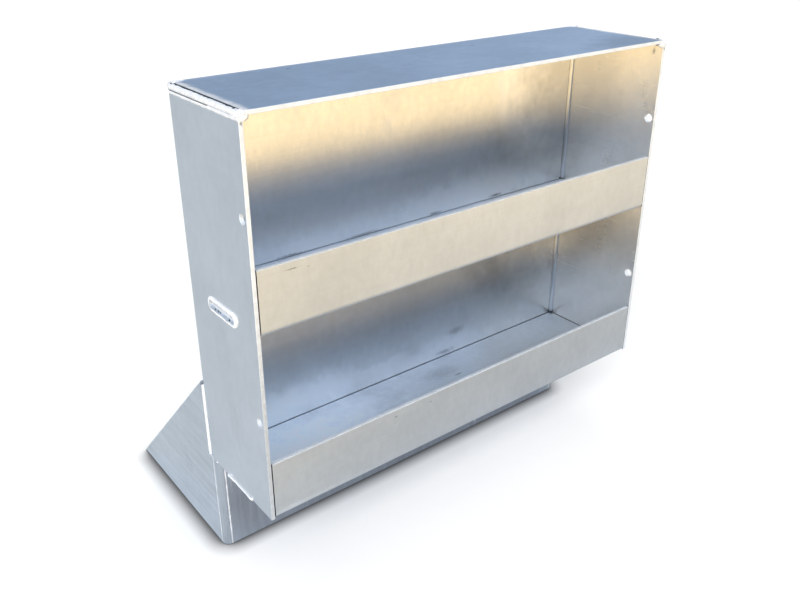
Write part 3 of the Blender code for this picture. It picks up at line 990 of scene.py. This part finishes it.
def build_slot_welds():
    """Ring of weld round each tab end."""
    centre_y = FRONT + SLOT_DEPTH
    centre_z = UPPER_BOTTOM + SHEET / 2
    width = RING_SIZE[0]
    loop = stadium(SLOT_LENGTH + width, SLOT_HEIGHT + width, SLOT_END_STEPS)
    for name, side in (("left", -1), ("right", 1)):
        path = [(side * HALF_WIDTH, centre_y + a, centre_z + b) for a, b in loop]
        up = (side, 0, 0)
        item = bead(f"ring_{name}", path, up, flat_section(), *RING_SIZE, seed=side, looped=True)
        place(item, [f"weld_slot_{name}"], [WELD, TRAY, GAP_SHADE], ring_finish)


def build_tray_bottom_welds():
    """Stitch under each end of the lower tray, bulging past the wall's lower edge."""
    start = FRONT + STITCH_START_DEPTH
    section = flat_section()
    inset = 0.0026
    tilt = 0.35
    for name, side in (("left", -1), ("right", 1)):
        x = side * (HALF_WIDTH - inset)
        path = [(x, y, BOX_BOTTOM) for y in (start, start + STITCH_LENGTH)]
        up = (side * tilt, 0, -1)
        item = bead(f"stitch_{name}", path, up, section, *STITCH_SIZE, seed=2 + side, ends=(1.1, 1.3))
        place_weld(item, f"weld_tray_bottom_{name}")


def build_tray_rear_welds():
    """Stitches that tie the rear edge of each tray to the back wall from below."""
    up_fillet = (0, -1, -1)
    up_flat = (0, 0, -1)
    for name, side in (("left", -1), ("right", 1)):
        middle = side * REAR_BEAD_OFFSET
        ends = (middle - REAR_BEAD_HALF, middle + REAR_BEAD_HALF)
        path = [(x, WALL_FACE, UPPER_BOTTOM) for x in ends]
        section = corner_section()
        item = bead(f"upper_rear_{name}", path, up_fillet, section, *UPPER_REAR_SIZE, seed=3 + side)
        place_weld(item, f"weld_upper_tray_rear_{name}")
        path = [(x, WALL_FACE, BOX_BOTTOM) for x in ends]
        section = flat_section()
        item = bead(f"lower_rear_{name}", path, up_flat, section, *LOWER_REAR_SIZE, seed=5 + side)
        place_weld(item, f"weld_lower_tray_rear_{name}")


def build_gusset_welds():
    """Bead that fills the groove between each rear fold of the box and the gusset behind it."""
    sunk = 0.00045
    y = BOX_BACK - 0.0021
    end_gap = 0.003
    heights = (BOX_BOTTOM + GAP, FOOT_TOP - end_gap)
    section = flat_section(root=2.4, dip=0.7)
    for name, side in (("left", -1), ("right", 1)):
        path = [(side * (HALF_WIDTH - sunk), y, z) for z in heights]
        up = (side, 0, 0)
        item = bead(f"gusset_seam_{name}", path, up, section, *GUSSET_SIZE, seed=21 + side, ends=(0.7, 0.9))
        place_weld(item, f"weld_gusset_{name}")


def seat_up(point):
    """Bisector between the box's underside and the foot's front, also round the foot's folds."""
    past_fold = abs(point.x) - (HALF_WIDTH - BEND_OUTSIDE)
    outward = Vector((0, -1, 0))
    if past_fold > 0:
        sideways = math.copysign(past_fold, point.x)
        outward = Vector((sideways, point.y - (FOOT_FRONT + BEND_OUTSIDE), 0)).normalized()
    return outward - Vector((0, 0, 1))


def build_seat_welds():
    """Fillets under the box along the front of the foot: round both corners, and in the middle."""
    section = corner_section()
    centre_x = HALF_WIDTH - BEND_OUTSIDE
    centre_y = FOOT_FRONT + BEND_OUTSIDE
    steps = 12
    for name, side in (("left", -1), ("right", 1)):
        path = []
        for step in range(steps + 1):
            angle = math.radians(SEAT_BEAD_TURN * (1 - step / steps))
            x = side * centre_x + side * BEND_OUTSIDE * math.sin(angle)
            path.append((x, centre_y - BEND_OUTSIDE * math.cos(angle), BOX_BOTTOM))
        path.append((side * (HALF_WIDTH - SEAT_BEAD_REACH), FOOT_FRONT, BOX_BOTTOM))
        item = bead(f"seat_{name}", path, seat_up, section, *SEAT_SIZE, seed=31 + side)
        place_weld(item, f"weld_foot_seat_{name}")
    path = [(x, FOOT_FRONT, BOX_BOTTOM) for x in (-CENTRE_BEAD_HALF, CENTRE_BEAD_HALF)]
    item = bead("seat_center", path, seat_up, section, *SEAT_SIZE, seed=34)
    place_weld(item, "weld_foot_seat_center")


def build_slope_welds():
    """Beads round the sloping plate: against the box, down both gussets and along the toe."""
    half = HALF_WIDTH - 3 * SHEET
    path = [(x, BOX_BACK, FOOT_TOE - BOX_BACK) for x in (-half, half)]
    bisector = (0, 0.924, 0.383)
    item = bead("slope_seam_top", path, bisector, corner_section(), *SLOPE_TOP_SIZE, seed=41)
    place_weld(item, "weld_slope_top")
    slope_normal = (0, 1, 1)
    margin = 0.010
    for name, side in (("left", -1), ("right", 1)):
        x = side * (HALF_WIDTH - SHEET)
        path = [(x, y, FOOT_TOE - y) for y in (BOX_BACK + margin, FOOT_TOE - margin)]
        section = flat_section()
        item = bead(f"slope_seam_{name}", path, slope_normal, section, *SLOPE_SIDE_SIZE, seed=43 + side)
        place_weld(item, f"weld_slope_{name}")
    half = HALF_WIDTH - SHEET - 2 * GAP
    inset = 0.0028
    above_floor = 0.0027
    path = [(x, FOOT_TOE - inset, above_floor) for x in (-half, half)]
    item = bead("toe_seam", path, slope_normal, flat_section(root=2.2), *TOE_SIZE, seed=47)
    place_weld(item, "weld_base_rear")


def build_base_nodes():
    """Pieces that stay as the model has them: the sole and the fillets inside the wedge."""
    for node in ("foot_base_plate", "weld_base_left", "weld_base_right"):
        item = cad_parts[node]
        finish = MILL if node == "foot_base_plate" else WELD
        item.data.materials.clear()
        item.data.materials.append(finish)


# ---------------------------------------------------------------- stage

def sunlit_ground(graph, x, y):
    """Warm ground that the open front faces: (emission, how much of it there is)."""
    ahead = graph.maths("SUBTRACT", FRONT, y)
    left = graph.remap(x, GROUND_TURN, -GROUND_TURN)
    shifted = graph.maths("ADD", ahead, graph.maths("MULTIPLY", left, GROUND_LEFT_SHIFT))
    ramp = graph.tree.nodes.new("ShaderNodeValToRGB")
    graph.feed(ramp.inputs[0], shifted)
    while len(ramp.color_ramp.elements) < len(GROUND_STOPS):
        ramp.color_ramp.elements.new(0.5)
    for element, (distance, colour) in zip(ramp.color_ramp.elements, GROUND_STOPS):
        element.position = distance
        element.color = (*colour, 1)
    strength = graph.remap(left, 0.0, 1.0, 1.0, GROUND_LEFT_BOOST)
    near = GROUND_STOPS[0][0]
    amount = graph.remap(ahead, near, near + GROUND_FADE)
    return graph.add("Emission", ramp.outputs[0], strength), amount


def reflected_floor(graph, x, y):
    """Colour of the floor in the metal, with a soft painted shadow under the box."""
    beside = graph.remap(graph.maths("ABSOLUTE", x), HALF_WIDTH + 0.03, HALF_WIDTH - 0.04)
    from_middle = graph.maths("ABSOLUTE", graph.maths("SUBTRACT", y, (FRONT + FOOT_FRONT) / 2))
    under = graph.maths("MULTIPLY", beside, graph.remap(from_middle, 0.11, 0.06))
    return graph.mix(under, FLOOR_REFLECTED, FLOOR_UNDER_PAINTED_SHADOW)


def seen_floor(graph):
    """Colour of the floor itself, with a contact shadow and a faint halo round it."""
    crevice = graph.add("AmbientOcclusion", (1, 1, 1, 1), CONTACT_REACH, out=1)
    nearby = graph.add("AmbientOcclusion", (1, 1, 1, 1), HALO_REACH, out=1)
    seen = graph.mix(graph.remap(crevice, SHADOW_OPENNESS, 1.0), CONTACT_COLOUR, FLOOR_COLOUR)
    halo = graph.remap(nearby, SHADOW_OPENNESS, 1.0, HALO_SHADE, 1.0)
    return graph.add("VectorMath", seen, halo, operation="MULTIPLY")


def floor_material():
    """Plain pale floor. The metal sees it as open ground: dim, with a painted shadow under the box, sunlit
    in front.
    """
    graph = Graph("floor")
    split = graph.tree.nodes.new("ShaderNodeSeparateXYZ")
    graph.feed(split.inputs[0], graph.position())
    x, y = split.outputs[:2]
    path = graph.tree.nodes.new("ShaderNodeLightPath")
    diffuse_ray, glossy_ray = path.outputs[2:4]
    colour = graph.mix(glossy_ray, seen_floor(graph), reflected_floor(graph, x, y))
    graph.feed(graph.shader.inputs["Base Color"], colour)
    graph.shader.inputs["Roughness"].default_value = 0.9
    graph.shader.inputs["Specular IOR Level"].default_value = 0.0
    emission, amount = sunlit_ground(graph, x, y)
    indirect = graph.maths("MAXIMUM", diffuse_ray, glossy_ray)
    share = graph.maths("MULTIPLY", indirect, amount)
    surface = graph.add("MixShader", share, graph.shader.outputs[0], emission)
    graph.feed(graph.tree.nodes["Material Output"].inputs[0], surface)
    return graph.material


def build_floor():
    square = [(-1, -1), (1, -1), (1, 1), (-1, 1)]
    rings = [[(a * FLOOR_HALF, b * FLOOR_HALF, z) for a, b in square] for z in FLOOR_HEIGHTS]
    floor = add_object("floor", loft("floor", rings))
    floor.data.materials.append(floor_material())


def build_world():
    """Soft blue sky for the reflections, brighter in front; the picture itself sees plain white."""
    world = bpy.data.worlds.new("studio")
    world.use_nodes = True
    bpy.context.scene.world = world
    tree = world.node_tree
    background = tree.nodes["Background"]
    coordinates = tree.nodes.new("ShaderNodeTexCoord")
    split = tree.nodes.new("ShaderNodeSeparateXYZ")
    tree.links.new(coordinates.outputs["Generated"], split.inputs[0])
    ramp = tree.nodes.new("ShaderNodeMapRange")
    tree.links.new(split.outputs[1], ramp.inputs[0])
    ramp.inputs[1].default_value = -SKY_TURN
    ramp.inputs[2].default_value = SKY_TURN
    sky = tree.nodes.new("ShaderNodeMix")
    sky.data_type = "RGBA"
    tree.links.new(ramp.outputs[0], sky.inputs["Factor"])
    sky.inputs[6].default_value = SKY_FRONT
    sky.inputs[7].default_value = SKY_BACK
    path = tree.nodes.new("ShaderNodeLightPath")
    seen = tree.nodes.new("ShaderNodeMix")
    seen.data_type = "RGBA"
    tree.links.new(path.outputs["Is Camera Ray"], seen.inputs["Factor"])
    tree.links.new(sky.outputs[2], seen.inputs[6])
    seen.inputs[7].default_value = (1, 1, 1, 1)
    tree.links.new(seen.outputs[2], background.inputs[0])
    world.cycles_visibility.diffuse = False


def add_sun(name, spread, strength, turn):
    """Distant light with a wide soft disc, spread degrees across, that the metal doesn't mirror."""
    light = bpy.data.lights.new(name, "SUN")
    light.angle = math.radians(spread)
    light.energy = strength
    item = bpy.data.objects.new(name, light)
    bpy.context.scene.collection.objects.link(item)
    item.rotation_euler = [math.radians(angle) for angle in turn]
    item.visible_glossy = False


def build_camera():
    data = bpy.data.cameras.new("camera")
    data.lens = CAMERA_LENS
    data.shift_x, data.shift_y = CAMERA_SHIFT
    data.clip_start = 0.01
    camera = bpy.data.objects.new("camera", data)
    bpy.context.scene.collection.objects.link(camera)
    camera.location = CAMERA_PLACE
    camera.rotation_euler = [math.radians(angle) for angle in CAMERA_TURN]
    bpy.context.scene.camera = camera


build_camera()
build_floor()
build_world()
for sun in SUNS:
    add_sun(*sun)
bpy.context.scene.view_settings.view_transform = "Standard"
build_box_wrap()
build_lid()
build_tray("upper_tray_sheet", "upper_tray", UPPER_BOTTOM, True)
build_tray("lower_tray_sheet", "lower_tray", LOWER_BOTTOM, False)
build_foot_wrap()
build_slope_plate()
build_top_welds()
build_slot_welds()
build_tray_bottom_welds()
build_tray_rear_welds()
build_gusset_welds()
build_seat_welds()
build_slope_welds()
build_base_nodes()
